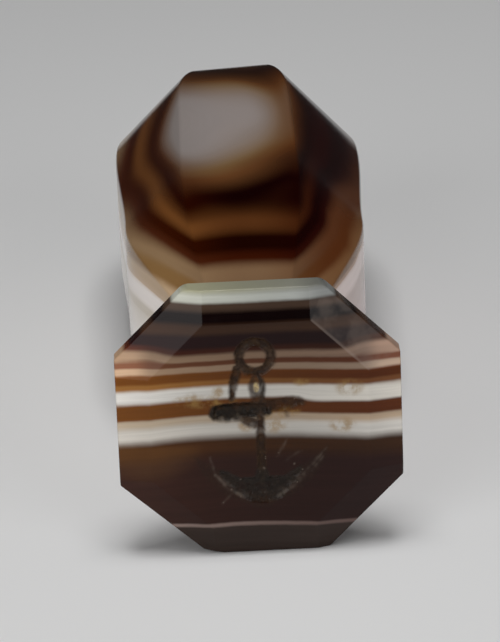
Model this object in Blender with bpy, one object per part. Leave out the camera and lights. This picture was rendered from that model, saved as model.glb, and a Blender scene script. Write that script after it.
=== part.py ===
"""Desk seal cut from one block of banded agate, with a faceted handle and an engraved octagonal face.

It lies on its side, as it is put down when loose. The engraved face looks along -Y, the handle runs
along +Y, and the seal rests at Z = 0 on the lower flat of its base and on the lower facet of its crown.
All sizes are in metres.
"""

from math import asin, atan, cos, pi, radians, sin, sqrt, tan

import bmesh
import bpy
from mathutils import Matrix, Vector

# The base, across its flats
FACE_WIDTH = 0.0250
FACE_HEIGHT = 0.0250
FACE_DIAGONAL = 0.0262
PANEL_WIDTH = 0.0192
PANEL_DIAGONAL = 0.0202
BEVEL_SLOPE = radians(18.0)
GIRDLE_BACK = 0.0030

# A small flat ground across the lower left corner of the base
NICK_RUN = 0.00145
NICK_TURN = radians(11.0)

# The handle, across its flats, from the base to the far end
SHOULDER_WIDTH = 0.0234
NECK_WIDTH = 0.0095
SWELL_WIDTH = 0.0224
CROWN_WIDTH = 0.0239
TABLE_WIDTH = 0.0119

# The runs between those places, along the axis
SHOULDER_RUN = 0.0065
FLARE_RUN = 0.0280
BODY_RUN = 0.0200
DOME_RUN = 0.0175

# Length of a main facet's flat as a share of the width there
SHOULDER_FLAT = 0.48
NECK_FLAT = 0.68
SWELL_FLAT = 0.505
CROWN_FLAT = 0.46
TABLE_FLAT = 0.33

# How hollow the shoulder is, and how square the dome
SHOULDER_POWER = 2.2
DOME_POWER = 2.6

FACETS = 8
STATIONS_PER_RUN = 12
OVERLAP = 0.0006
CAP_WELD = 0.000001
SHARP_EDGE = radians(15.0)

# Hand cutting leaves each facet a little turned and a little near or far. The pairs are degrees of
# turn and a factor on its distance from the axis, clockwise from the top as seen from the face.
FACE_CUTS = ((0, 1), (0, 0.993), (0, 1), (0, 0.99), (0, 1), (-2.5, 0.962), (0, 1), (0, 1.01))
HANDLE_CUTS = ((-2.5, 1), (2, 0.985), (0, 1.025), (0, 1), (0, 1), (0, 1), (0, 1.01), (0, 0.985))
LOWER_FACET = 4

# The anchor cut into the face. Its strokes were ground with a small wheel, each along a line of
# points: millimetres across and up from the middle of the panel, and half the stroke's width there.
WHEEL_DEPTH = 0.85
WHEEL_RISE = 0.00015
STROKES = {
    "cable": ((-1.7, 5.6, 0.42), (-2.1, 4.6, 0.46), (-2.4, 3.7, 0.42), (-2.6, 2.7, 0.3)),
    "eye_left": ((-0.2, 4.9, 0.26), (-0.75, 4.2, 0.3), (-0.8, 3.2, 0.28), (-0.4, 2.4, 0.26)),
    "eye_right": ((-0.1, 4.9, 0.26), (0.3, 4.2, 0.32), (0.4, 3.2, 0.34), (0.2, 2.3, 0.3)),
    "eye_foot": ((-0.5, 2.9, 0.2), (-0.2, 2.6, 0.4), (0.1, 2.3, 0.5)),
    "stock_left": ((-4.2, 1.4, 0.58), (-3.3, 1.35, 0.94), (-1.2, 1.4, 0.96), (0.5, 1.5, 0.72)),
    "stock_right": ((-0.4, 1.8, 0.72), (1.4, 1.9, 0.66), (2.8, 2.0, 0.56), (3.7, 2.0, 0.36)),
    "stock_knob": ((2.3, 2.35, 0.26), (3.0, 2.5, 0.34), (3.6, 2.3, 0.26)),
    "stock_hook": ((2.1, 1.7, 0.3), (2.3, 1.2, 0.28), (2.4, 0.8, 0.2)),
    "slip_below_stock": ((-1.8, 0.6, 0.34), (-1.1, 0.2, 0.5), (-0.3, -0.1, 0.46)),
    "shank": ((0.0, 2.2, 0.44), (0.0, -1.2, 0.46), (0.0, -4.2, 0.42), (0.0, -6.9, 0.42)),
    "left_arm": (
        (-5.8, -2.7, 0.16), (-4.8, -4.1, 0.62), (-3.5, -5.3, 0.86), (-1.9, -6.3, 0.98), (0.3, -7.0, 0.86)
    ),
    "right_arm": (
        (5.9, -2.2, 0.16), (4.9, -3.7, 0.62), (3.6, -5.0, 0.86), (1.9, -6.2, 0.98), (-0.3, -7.0, 0.86)
    ),
    "left_barb": ((-5.2, -3.7, 0.24), (-3.9, -4.4, 0.42), (-2.6, -4.9, 0.4)),
    "right_barb": ((5.0, -3.5, 0.24), (3.8, -4.2, 0.42), (2.6, -4.7, 0.4)),
    "crown": ((-2.9, -5.4, 0.4), (-1.2, -5.6, 0.82), (1.2, -5.6, 0.82), (2.9, -5.3, 0.4)),
    "crown_rise": ((0.0, -4.2, 0.46), (0.0, -5.3, 0.9), (0.0, -6.4, 0.9)),
}
STROKE_STEPS = 4
WHEEL_FACETS = 3
RING_CENTRE = (-0.25, 6.48)
RING_RADIUS = 1.4
RING_HALF_WIDTH = 0.48
RING_SEGMENTS = 32
RING_FACETS = 10

AXIS_HEIGHT = FACE_HEIGHT / 2
NECK_AT = GIRDLE_BACK + SHOULDER_RUN
SWELL_AT = NECK_AT + FLARE_RUN
CROWN_AT = SWELL_AT + BODY_RUN
LENGTH = CROWN_AT + DOME_RUN
FACE_Y = -LENGTH / 2


def clear_scene():
    for obj in list(bpy.data.objects):
        bpy.data.objects.remove(obj, do_unlink=True)


def new_collection(name):
    collection = bpy.data.collections.new(name)
    bpy.context.scene.collection.children.link(collection)
    return collection


def agate_material():
    material = bpy.data.materials.new("banded_agate")
    material.use_nodes = True
    shader = material.node_tree.nodes["Principled BSDF"]
    shader.inputs["Base Color"].default_value = (0.075, 0.030, 0.016, 1.0)
    shader.inputs["Roughness"].default_value = 0.12
    shader.inputs["Metallic"].default_value = 0.0
    material.diffuse_color = (0.075, 0.030, 0.016, 1.0)
    return material


def mesh_object(name, bm, collection):
    mesh = bpy.data.meshes.new(name)
    bm.to_mesh(mesh)
    bm.free()
    mesh.shade_smooth()
    mesh.set_sharp_from_angle(angle=SHARP_EDGE)
    obj = bpy.data.objects.new(name, mesh)
    collection.objects.link(obj)
    return obj


def hide_cutter(obj):
    obj.hide_render = True
    obj.display_type = "WIRE"


def facet_directions(cuts):
    """Outward direction of each facet in the plane of the face, as (across, up)."""
    angles = [2 * pi * k / FACETS + radians(turn) for k, (turn, _) in enumerate(cuts)]
    return [Vector((sin(angle), cos(angle))) for angle in angles]


def corner(first, first_distance, second, second_distance):
    """Where two facets meet, seen along the axis."""
    det = first.x * second.y - first.y * second.x
    across = (first_distance * second.y - second_distance * first.y) / det
    up = (first.x * second_distance - second.x * first_distance) / det
    return Vector((across, up))


def to_world(across, up, behind_face):
    return Vector((across, FACE_Y + behind_face, AXIS_HEIGHT + up))


def grind(bm, point, outward):
    """Cuts a flat on a solid block and closes it, as a lapidary's wheel does."""
    everything = bm.verts[:] + bm.edges[:] + bm.faces[:]
    bmesh.ops.bisect_plane(
        bm, geom=everything, plane_co=point, plane_no=outward, clear_outer=True
    )
    open_edges = [edge for edge in bm.edges if edge.is_boundary]
    if open_edges:
        bmesh.ops.holes_fill(bm, edges=open_edges, sides=0)


def face_half(facet):
    """Distance of the base's side from the axis, for a facet counted clockwise from the top."""
    if facet % 2:
        across_flats = FACE_DIAGONAL
    elif facet % 4:
        across_flats = FACE_WIDTH
    else:
        across_flats = FACE_HEIGHT
    return across_flats / 2 * FACE_CUTS[facet][1]


def make_base(collection):
    """The octagonal base: a block with eight sides, eight bevels round the flat panel, and the nick."""
    bm = bmesh.new()
    size = 2 * max(FACE_WIDTH, FACE_HEIGHT, FACE_DIAGONAL)
    block = Matrix.Diagonal((size, GIRDLE_BACK, size, 1.0))
    place = Matrix.Translation(to_world(0.0, 0.0, GIRDLE_BACK / 2))
    bmesh.ops.create_cube(bm, size=1.0, matrix=place @ block)
    directions = facet_directions(FACE_CUTS)
    for facet, direction in enumerate(directions):
        side = direction * face_half(facet)
        grind(bm, to_world(side.x, side.y, 0.0), Vector((direction.x, 0.0, direction.y)))
        panel = (PANEL_DIAGONAL if facet % 2 else PANEL_WIDTH) / 2
        slope = atan(sqrt(2) * tan(BEVEL_SLOPE)) if facet % 2 else BEVEL_SLOPE
        inner = direction * panel
        outward = Vector((direction.x * sin(slope), -cos(slope), direction.y * sin(slope)))
        grind(bm, to_world(inner.x, inner.y, 0.0), outward)
    lower, left_corner = LOWER_FACET, LOWER_FACET + 1
    start = corner(
        directions[lower], face_half(lower), directions[left_corner], face_half(left_corner)
    )
    turned = Vector((-sin(NICK_TURN), 0.0, -cos(NICK_TURN)))
    grind(bm, to_world(start.x + NICK_RUN, start.y, 0.0), turned)
    bmesh.ops.recalc_face_normals(bm, faces=bm.faces[:])
    return mesh_object("agate_seal", bm, collection)


def eased(start, end, share):
    """A smooth change from start to end that begins and ends level."""
    return start + (end - start) * share * share * (3 - 2 * share)


def dome_reach():
    """Distance from the widest place to the tip that the dome would have without its table."""
    left = (TABLE_WIDTH / CROWN_WIDTH) ** DOME_POWER
    return DOME_RUN / (1 - left) ** (1 / DOME_POWER)


def handle_stations():
    """(distance behind the face, half width across main flats, flat share) along the handle."""
    stations = [(GIRDLE_BACK - OVERLAP, SHOULDER_WIDTH / 2, SHOULDER_FLAT)]
    for i in range(STATIONS_PER_RUN):
        share = i / STATIONS_PER_RUN
        width = NECK_WIDTH + (SHOULDER_WIDTH - NECK_WIDTH) * (1 - share) ** SHOULDER_POWER
        flat = SHOULDER_FLAT + (NECK_FLAT - SHOULDER_FLAT) * share
        stations.append((GIRDLE_BACK + share * SHOULDER_RUN, width / 2, flat))
    runs = (
        (NECK_AT, FLARE_RUN, NECK_WIDTH, SWELL_WIDTH, NECK_FLAT, SWELL_FLAT),
        (SWELL_AT, BODY_RUN, SWELL_WIDTH, CROWN_WIDTH, SWELL_FLAT, CROWN_FLAT),
    )
    for at, run, width, next_width, flat, next_flat in runs:
        for i in range(STATIONS_PER_RUN):
            share = i / STATIONS_PER_RUN
            half = eased(width, next_width, share) / 2
            stations.append((at + share * run, half, eased(flat, next_flat, share)))
    reach = dome_reach()
    last_angle = asin((DOME_RUN / reach) ** (DOME_POWER / 2))
    for i in range(STATIONS_PER_RUN + 1):
        angle = last_angle * i / STATIONS_PER_RUN
        along = reach * sin(angle) ** (2 / DOME_POWER)
        half = CROWN_WIDTH / 2 * cos(angle) ** (2 / DOME_POWER)
        flat = eased(CROWN_FLAT, TABLE_FLAT, along / DOME_RUN)
        stations.append((CROWN_AT + along, half, flat))
    return stations


def handle_section(behind_face, half, flat):
    """The eight corners of the handle at one station."""
    directions = facet_directions(HANDLE_CUTS)
    diagonal = half * (1 + flat) / sqrt(2)
    distances = [
        (diagonal if k % 2 else half) * factor for k, (_, factor) in enumerate(HANDLE_CUTS)
    ]
    # The lower facet of the crown reaches as low as the base, so that the seal lies level.
    distances[LOWER_FACET] *= AXIS_HEIGHT / (CROWN_WIDTH / 2)
    corners = []
    for k in range(FACETS):
        after = (k + 1) % FACETS
        place = corner(directions[k], distances[k], directions[after], distances[after])
        corners.append(to_world(place.x, place.y, behind_face))
    return corners


def make_handle(collection):
    """The handle: a loft through octagons whose flats change along the axis."""
    bm = bmesh.new()
    rings = []
    for station in handle_stations():
        rings.append([bm.verts.new(place) for place in handle_section(*station)])
    for ring, next_ring in zip(rings, rings[1:]):
        for k in range(FACETS):
            after = (k + 1) % FACETS
            bm.faces.new((ring[k], ring[after], next_ring[after], next_ring[k]))
    bm.faces.new(rings[0])
    bm.faces.new(rings[-1])
    bmesh.ops.recalc_face_normals(bm, faces=bm.faces[:])
    return mesh_object("handle", bm, collection)


def millimetres(length):
    return length / 1000


def figure_point(across, up):
    """A point of the anchor, as far in front of the panel as the wheel's axle was kept."""
    return to_world(millimetres(across), millimetres(up), -WHEEL_RISE)


def sink(mesh):
    """Makes round strokes shallower than they are wide, towards the plane of the wheel's axle."""
    level = FACE_Y - WHEEL_RISE
    shallower = Matrix.Diagonal((1.0, WHEEL_DEPTH, 1.0, 1.0))
    to_level = Matrix.Translation((0.0, level, 0.0))
    mesh.transform(to_level @ shallower @ to_level.inverted())


def make_stroke(name, points, collection):
    """One stroke of the engraver's wheel: a round bar that swells and narrows, along a smooth curve."""
    curve = bpy.data.curves.new(name, "CURVE")
    curve.dimensions = "3D"
    curve.bevel_depth = millimetres(1)
    curve.bevel_resolution = WHEEL_FACETS
    curve.use_fill_caps = True
    line = curve.splines.new("NURBS")
    line.points.add(len(points) - 1)
    for point, (across, up, half_width) in zip(line.points, points):
        point.co = (*figure_point(across, up), 1.0)
        point.radius = half_width
    line.order_u = 3
    line.use_endpoint_u = True
    line.resolution_u = STROKE_STEPS
    path = bpy.data.objects.new(name, curve)
    collection.objects.link(path)
    graph = bpy.context.evaluated_depsgraph_get()
    bar = bpy.data.meshes.new_from_object(path.evaluated_get(graph))
    bm = bmesh.new()
    bm.from_mesh(bar)
    bpy.data.meshes.remove(bar)
    bmesh.ops.remove_doubles(bm, verts=bm.verts[:], dist=CAP_WELD)
    bmesh.ops.recalc_face_normals(bm, faces=bm.faces[:])
    stroke = mesh_object(f"stroke_{name}", bm, collection)
    stroke.matrix_world = path.matrix_world
    bpy.data.objects.remove(path)
    sink(stroke.data)
    return stroke


def make_ring_stroke(collection):
    """The anchor's ring, ground as one round stroke."""
    bpy.ops.mesh.primitive_torus_add(
        major_segments=RING_SEGMENTS,
        minor_segments=RING_FACETS,
        major_radius=millimetres(RING_RADIUS),
        minor_radius=millimetres(RING_HALF_WIDTH),
        location=figure_point(*RING_CENTRE),
        rotation=(pi / 2, 0.0, 0.0),
    )
    ring = bpy.context.object
    ring.name = "stroke_ring"
    for owner in list(ring.users_collection):
        owner.objects.unlink(ring)
    collection.objects.link(ring)
    bpy.ops.object.transform_apply()
    sink(ring.data)
    return ring


def add_boolean(obj, other, operation):
    modifier = obj.modifiers.new(other.name, "BOOLEAN")
    modifier.operation = operation
    modifier.solver = "EXACT"
    modifier.object = other


def main():
    clear_scene()
    parts = new_collection("desk_seal")
    cutters = new_collection("desk_seal_cutters")
    seal = make_base(parts)
    seal.data.materials.append(agate_material())
    handle = make_handle(cutters)
    hide_cutter(handle)
    add_boolean(seal, handle, "UNION")
    strokes = [make_stroke(name, points, cutters) for name, points in STROKES.items()]
    strokes.append(make_ring_stroke(cutters))
    for stroke in strokes:
        hide_cutter(stroke)
        add_boolean(seal, stroke, "DIFFERENCE")


main()
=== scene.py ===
"""Looks of the desk seal: one block of polished banded agate with an anchor cut into its face."""

import random
from math import asin, atan, cos, pi, radians, sin, sqrt, tan

import bmesh
import bpy
import numpy as np
from mathutils import Matrix, Vector, noise


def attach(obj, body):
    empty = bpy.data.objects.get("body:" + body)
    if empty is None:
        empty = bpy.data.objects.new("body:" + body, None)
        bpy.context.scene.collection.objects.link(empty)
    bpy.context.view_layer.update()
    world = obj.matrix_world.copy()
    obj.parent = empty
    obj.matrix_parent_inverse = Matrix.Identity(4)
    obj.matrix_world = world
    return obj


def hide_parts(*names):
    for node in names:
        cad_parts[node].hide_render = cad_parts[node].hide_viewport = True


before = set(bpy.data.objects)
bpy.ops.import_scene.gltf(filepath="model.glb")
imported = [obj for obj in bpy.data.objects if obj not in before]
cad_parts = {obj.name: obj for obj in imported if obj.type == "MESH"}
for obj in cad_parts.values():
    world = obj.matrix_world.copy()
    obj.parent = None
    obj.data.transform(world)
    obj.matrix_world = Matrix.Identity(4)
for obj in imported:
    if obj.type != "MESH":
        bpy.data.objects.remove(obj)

MM_PER_METRE = 1000

# The base, across its flats
FACE_WIDTH = 0.0250
FACE_HEIGHT = 0.0250
FACE_DIAGONAL = 0.0262
PANEL_WIDTH = 0.0192
PANEL_DIAGONAL = 0.0202
BEVEL_SLOPE = radians(18.0)
GIRDLE_BACK = 0.0030
NICK_RUN = 0.00145
NICK_TURN = radians(11.0)

# The handle, across its flats, from the base to the far end
SHOULDER_WIDTH = 0.0234
NECK_WIDTH = 0.0095
SWELL_WIDTH = 0.0224
CROWN_WIDTH = 0.0239
TABLE_WIDTH = 0.0119

# The runs between those places, along the axis
SHOULDER_RUN = 0.0065
FLARE_RUN = 0.0280
BODY_RUN = 0.0200
DOME_RUN = 0.0175

# Length of a main facet's flat as a share of the width there
SHOULDER_FLAT = 0.48
NECK_FLAT = 0.68
SWELL_FLAT = 0.505
CROWN_FLAT = 0.46
TABLE_FLAT = 0.33
SHOULDER_POWER = 2.2
DOME_POWER = 2.6

# Each facet's turn in degrees and the factor on its distance, clockwise from the top
FACETS = 8
FACE_CUTS = ((0, 1), (0, 0.993), (0, 1), (0, 0.99), (0, 1), (-2.5, 0.962), (0, 1), (0, 1.01))
HANDLE_CUTS = ((-2.5, 1), (2, 0.985), (0, 1.025), (0, 1), (0, 1), (0, 1), (0, 1.01), (0, 0.985))
LOWER_FACET = 4

# How finely the stone is modelled, and how far its edges are softened
STATIONS_PER_RUN = 30
OVERLAP = 0.0006
FACE_EDGE = 0.00012
TOP_CORNER = 0.00042
HANDLE_EDGE = 0.00022
SHARP_EDGE = radians(14.0)
EDGE_SEGMENTS = 2
FACET_WEIGHT = 80
SAME_PLANE = 1e-7

# A top corner's edge runs straight back for most of its length, and lies near the top of the base
MOSTLY_BACK = 0.9
NEAR_TOP = 0.45

# The fine sheet that the anchor is pressed into, and what is stored on its points
PANEL_STEP = 0.000085
FIGURE_HALF_WIDTH = 0.0068
FIGURE_BOTTOM = -0.0088
FIGURE_TOP = 0.0088
FIGURE_CORNER = 0.0097
PANEL_LOOKS = ("residue", "browned", "frosted")

# The engraver's wheel: its depth of cut as a share of half a stroke's width, and how far in front
# of the panel its cuts start, in millimetres
WHEEL_DEPTH = 0.7
WHEEL_RISE = 0.05

# The anchor's strokes: how brown the residue in them is and how thick it lies, then millimetres
# across and up from the middle of the panel, and half the width
STROKES = {
    "cable": (0.9, 1.0, ((-1.75, 5.5, 0.46), (-2.05, 4.6, 0.5), (-2.25, 3.7, 0.44), (-2.4, 2.6, 0.3))),
    "eye_left": (1.0, 0.85, ((-0.2, 4.9, 0.26), (-0.62, 4.2, 0.32), (-0.66, 3.2, 0.34), (-0.35, 2.4, 0.3))),
    "eye_right": (0.3, 0.95, ((-0.1, 4.9, 0.26), (0.26, 4.2, 0.34), (0.31, 3.2, 0.36), (0.18, 2.3, 0.3))),
    "eye_foot": (1.0, 0.85, ((-0.25, 4.3, 0.24), (-0.25, 3.2, 0.4), (0.0, 2.3, 0.5))),
    "stock_left": (0.2, 1.0, ((-3.75, 1.35, 0.78), (-3.2, 1.32, 0.92), (-1.2, 1.4, 0.96), (0.5, 1.5, 0.72))),
    "stock_right": (0.9, 0.85, ((-0.4, 1.8, 0.72), (1.4, 1.9, 0.66), (2.8, 2.0, 0.56), (3.7, 2.0, 0.36))),
    "stock_knob": (0.9, 0.7, ((2.3, 2.35, 0.26), (3.0, 2.5, 0.34), (3.6, 2.3, 0.26))),
    "stock_hook": (1.0, 0.5, ((2.1, 1.7, 0.3), (2.3, 1.2, 0.28), (2.4, 0.8, 0.2))),
    "slip_below_stock": (1.0, 0.95, ((-1.6, 0.7, 0.36), (-1.1, 0.4, 0.56), (-0.3, 0.1, 0.56))),
    "shank": (1.0, 1.0, ((0.0, 2.2, 0.44), (0.0, -1.2, 0.46), (0.0, -4.2, 0.42), (0.0, -6.9, 0.42))),
    "left_arm": (
        0.5, 0.35,
        ((-5.8, -2.7, 0.16), (-4.8, -4.1, 0.62), (-3.5, -5.3, 0.86), (-1.9, -6.3, 0.98), (0.3, -7.0, 0.86)),
    ),
    "right_arm": (
        0.4, 0.35,
        ((5.9, -2.2, 0.16), (4.9, -3.7, 0.62), (3.6, -5.0, 0.86), (1.9, -6.2, 0.98), (-0.3, -7.0, 0.86)),
    ),
    "left_barb": (0.4, 0.3, ((-5.2, -3.7, 0.24), (-3.9, -4.4, 0.42), (-2.6, -4.9, 0.4))),
    "right_barb": (0.4, 0.3, ((5.0, -3.5, 0.24), (3.8, -4.2, 0.42), (2.6, -4.7, 0.4))),
    "crown": (0.0, 0.85, ((-2.9, -5.4, 0.4), (-1.2, -5.6, 0.82), (1.2, -5.6, 0.82), (2.9, -5.3, 0.4))),
    "crown_rise": (0.0, 0.85, ((0.0, -4.2, 0.46), (0.0, -5.3, 0.9), (0.0, -6.4, 0.9))),
    "heel": (0.0, 0.85, ((-2.3, -6.1, 0.5), (0.0, -6.7, 0.84), (2.1, -6.0, 0.5))),
    "lower_heel": (0.0, 0.85, ((-1.2, -6.6, 0.6), (0.2, -7.0, 0.8), (1.5, -6.5, 0.6))),
    "left_blade": (0.0, 0.8, ((-3.5, -4.4, 0.4), (-2.6, -5.3, 0.7), (-1.0, -6.3, 0.9))),
    "right_blade": (0.0, 0.8, ((3.4, -4.3, 0.35), (2.5, -5.2, 0.65), (1.0, -6.3, 0.9))),
}
STROKE_STEPS = 30
RING_CENTRE = (-0.25, 6.48)
RING_RADIUS = 1.4
RING_HALF_WIDTH = 0.48
RING_BROWN = 0.8
RING_FILL = 0.98

# Past a stroke's end its depth fades over a run that is this share of half its width, and at least
# this many millimetres, and is gone after so many runs
END_RUN = 0.35
SHORTEST_END_RUN = 0.05
GONE_AFTER = 1.4

# How the hand strays: size and amount of each wave in millimetres, and seed
WANDERS = ((0.45, 0.07, 3.1), (0.16, 0.03, 8.7))

# How far the seed of the shifts upwards lies from that of the shifts across
SEED_GAP = 20.0

# The grain of a cut's floor: stretch both ways, size in millimetres, seed and share of the depth
CUT_GRAINS = (((1.0, 3.0), 0.3, 1.7, 0.12), ((1.0, 1.0), 0.12, 5.2, 0.05))

# The residue starts outside a stroke's edge and is full after a run inwards, in millimetres
RESIDUE_START = 0.1
RESIDUE_RUN = 0.3

# Patches in the residue and in the frosting: size in millimetres, seed, middle, swing, least, most
RESIDUE_PATCHES = (0.55, 4.4, 1.05, 0.5, 0.75, 1.0)
FROST_PATCHES = (0.5, 6.3, 0.65, 1.2, 0.1, 1.2)

# Keeps the mean brownness whole where no stroke is near
LEAST_WEIGHT = 1e-6

# Bright chips beside the cuts: millimetres across and up, and radius
CHIPS = (
    (0.2, -4.14, 0.15), (2.85, -3.8, 0.13), (-1.9, -5.1, 0.12), (-2.75, -6.0, 0.13), (-1.95, -6.7, 0.12),
    (-3.5, -7.2, 0.1), (-0.2, -4.5, 0.07), (1.5, -2.7, 0.08),
)
FLAKE_DEPTH = 0.45
CHIP_FROST = 2.2

# Smaller chips, drawn from the shallow rims of the cuts below one height, in millimetres
LOOSE_CHIPS = 5
CHIP_SEED = 11
RIM_DEPTH = (0.02, 0.12)
LOOSE_CHIPS_BELOW = 2.5
LOOSE_CHIP_RADIUS = (0.04, 0.1)

# Frosted scratches along the arms: how bright, then the points of each and half its width
SCRATCHES = (
    (1.2, ((-4.1, -4.5, 0.1), (-3.4, -5.4, 0.22), (-2.7, -6.0, 0.22), (-1.6, -6.9, 0.1))),
    (0.75, ((1.3, -6.9, 0.1), (2.6, -6.0, 0.22), (3.9, -4.6, 0.2), (5.7, -2.4, 0.1))),
    (0.5, ((1.4, -3.0, 0.1), (1.8, -2.2, 0.18), (2.3, -1.4, 0.1))),
    (0.45, ((-4.5, -2.8, 0.1), (-4.4, -3.6, 0.16), (-4.1, -4.4, 0.1))),
    (0.5, ((3.2, -5.4, 0.1), (4.6, -4.4, 0.18), (5.4, -3.2, 0.1))),
    (0.35, ((-3.6, -7.3, 0.08), (-3.0, -6.6, 0.16), (-2.4, -6.2, 0.1))),
    (0.3, ((2.2, -3.4, 0.1), (2.9, -2.7, 0.2), (3.6, -2.6, 0.1))),
)

AXIS_HEIGHT = FACE_HEIGHT / 2
NECK_AT = GIRDLE_BACK + SHOULDER_RUN
SWELL_AT = NECK_AT + FLARE_RUN
CROWN_AT = SWELL_AT + BODY_RUN
LENGTH = CROWN_AT + DOME_RUN
FACE_Y = -LENGTH / 2

# The stone's layers, from the lowest up: name, level of its upper edge in face widths from the
# middle of the face, half the softness of that edge, its colour at the left and right of the face,
# and its colour at the left, middle and right of the handle.
LAYERS = (
    ("olive_foot", -0.380, 0.006, (0.034, 0.021, 0.016), (0.034, 0.022, 0.018),
     (0.050, 0.030, 0.020), (0.045, 0.028, 0.019), (0.040, 0.026, 0.018)),
    ("white_line", -0.366, 0.005, (0.250, 0.180, 0.155), (0.110, 0.068, 0.060),
     (0.240, 0.190, 0.160), (0.220, 0.170, 0.145), (0.200, 0.150, 0.130)),
    ("thick_brown", -0.100, 0.030, (0.033, 0.012, 0.008), (0.018, 0.007, 0.006),
     (0.070, 0.030, 0.015), (0.060, 0.025, 0.012), (0.050, 0.020, 0.010)),
    ("warm_glow", -0.033, 0.021, (0.062, 0.021, 0.005), (0.030, 0.012, 0.005),
     (0.075, 0.032, 0.015), (0.065, 0.027, 0.012), (0.055, 0.022, 0.010)),
    ("lower_white", 0.018, 0.014, (0.510, 0.475, 0.425), (0.485, 0.460, 0.425),
     (0.960, 0.900, 0.860), (0.820, 0.725, 0.700), (0.680, 0.550, 0.540)),
    ("cream", 0.047, 0.007, (0.420, 0.335, 0.245), (0.335, 0.250, 0.175),
     (0.850, 0.780, 0.700), (0.750, 0.650, 0.590), (0.650, 0.530, 0.500)),
    ("brown_seam", 0.100, 0.010, (0.134, 0.045, 0.008), (0.069, 0.018, 0.005),
     (0.700, 0.620, 0.520), (0.660, 0.560, 0.490), (0.630, 0.510, 0.480)),
    ("upper_white", 0.154, 0.010, (0.610, 0.585, 0.545), (0.530, 0.500, 0.450),
     (0.980, 0.900, 0.850), (0.930, 0.820, 0.780), (0.880, 0.740, 0.710)),
    ("orange_seam", 0.177, 0.006, (0.243, 0.106, 0.026), (0.115, 0.043, 0.015),
     (0.620, 0.450, 0.300), (0.560, 0.390, 0.270), (0.500, 0.330, 0.240)),
    ("red_seam", 0.211, 0.006, (0.146, 0.047, 0.007), (0.067, 0.017, 0.004),
     (0.600, 0.430, 0.290), (0.510, 0.350, 0.230), (0.420, 0.270, 0.180)),
    ("pale_seam", 0.2335, 0.005, (0.290, 0.190, 0.120), (0.205, 0.145, 0.105),
     (0.540, 0.380, 0.235), (0.360, 0.230, 0.130), (0.200, 0.095, 0.040)),
    ("thin_red", 0.2525, 0.005, (0.115, 0.042, 0.019), (0.070, 0.021, 0.009),
     (0.250, 0.138, 0.052), (0.170, 0.080, 0.030), (0.105, 0.030, 0.008)),
    ("mauve", 0.279, 0.009, (0.225, 0.145, 0.090), (0.165, 0.105, 0.075),
     (0.285, 0.180, 0.095), (0.200, 0.115, 0.060), (0.110, 0.036, 0.013)),
    ("dark_red", 0.300, 0.012, (0.046, 0.010, 0.004), (0.024, 0.007, 0.003),
     (0.075, 0.018, 0.006), (0.040, 0.006, 0.001), (0.022, 0.002, 0.001)),
    ("purple_brown", 0.350, 0.012, (0.015, 0.004, 0.004), (0.010, 0.003, 0.003),
     (0.036, 0.005, 0.000), (0.010, 0.001, 0.000), (0.010, 0.000, 0.000)),
    ("warm_brown", 0.386, 0.012, (0.046, 0.020, 0.010), (0.038, 0.018, 0.010),
     (0.175, 0.064, 0.016), (0.092, 0.030, 0.008), (0.024, 0.001, 0.000)),
    ("black", 0.429, 0.011, (0.006, 0.002, 0.002), (0.004, 0.002, 0.002),
     (0.026, 0.003, 0.000), (0.006, 0.000, 0.000), (0.010, 0.000, 0.000)),
    ("dark_brown", 0.457, 0.007, (0.070, 0.042, 0.028), (0.050, 0.031, 0.022),
     (0.062, 0.019, 0.007), (0.138, 0.053, 0.017), (0.105, 0.029, 0.006)),
    ("cap_white", 0.490, 0.014, (0.570, 0.575, 0.490), (0.340, 0.355, 0.355),
     (0.120, 0.056, 0.030), (0.212, 0.123, 0.050), (0.120, 0.045, 0.018)),
    ("olive_top", None, None, (0.400, 0.385, 0.235), (0.205, 0.208, 0.200),
     (0.275, 0.240, 0.224), (0.332, 0.290, 0.276), (0.280, 0.240, 0.225)),
)

# Below, a pattern is its scale, detail, roughness and shift, a fade is where it starts and ends and,
# where they aren't none and one, what it starts and ends at, and places are in face widths.

# Where the face's levels and colours give way to the handle's, behind the face
HANDOVER = (0.14, 0.75)

# What lies on the face alone
FACE_ONLY = (0.02, 0.08, 1.0, 0.0)

# On the face the layers sag to both sides, less the higher they are
SAG = 0.095
SAG_HEIGHT = 0.10
SAG_FADE = 0.24

# The lower ones also lean down to the right, less towards the sides
LEAN_FADE = (0.18, 0.32, 0.032, 0.0)
LEAN_BEND = -3.5

# The upper thin ones fan out at both sides, by the distance across squared
FAN_SIDES = (0.07, 0.15, 0.0, -0.014)
FAN_RISE = (0.235, 0.265)
FAN_FALL = (0.33, 0.30)

# The brown seam moves from left to right
SEAM_SIDES = (0.10, 0.20, -0.008, 0.007)
SEAM_RISE = (0.055, 0.085)
SEAM_FALL = (0.135, 0.105)

# How the layers' levels are stretched in the handle: level there and level on the face
HANDLE_LEVELS = (
    (-0.520, -0.500), (-0.420, -0.377), (-0.220, -0.046), (0.022, 0.047), (0.064, 0.100),
    (0.143, 0.154), (0.155, 0.211), (0.208, 0.2335), (0.250, 0.2525), (0.2875, 0.279), (0.310, 0.300),
    (0.3425, 0.350), (0.3725, 0.386), (0.4185, 0.429), (0.438, 0.457), (0.466, 0.490), (0.492, 0.530),
)

# A curve runs from none to one, so the levels are lifted into it and lowered again
CURVE_LIFT = 0.5

# How the layers lean and arch in the handle, plain, across and across squared, at the base, and
# what each stretch behind the face adds
BASE_LEAN = (0.0, -0.0252, 0.1347)
HANDLE_LEAN = (
    ((0.90, 1.50), (-0.0387, -0.0312, 0.2314)),
    ((1.45, 1.95), (-0.0168, 0.0383, 0.3212)),
    ((1.90, 2.35), (-0.0198, 0.0479, 0.0422)),
    ((2.15, 2.55), (-0.0180, 0.0, 0.0)),
)

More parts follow.
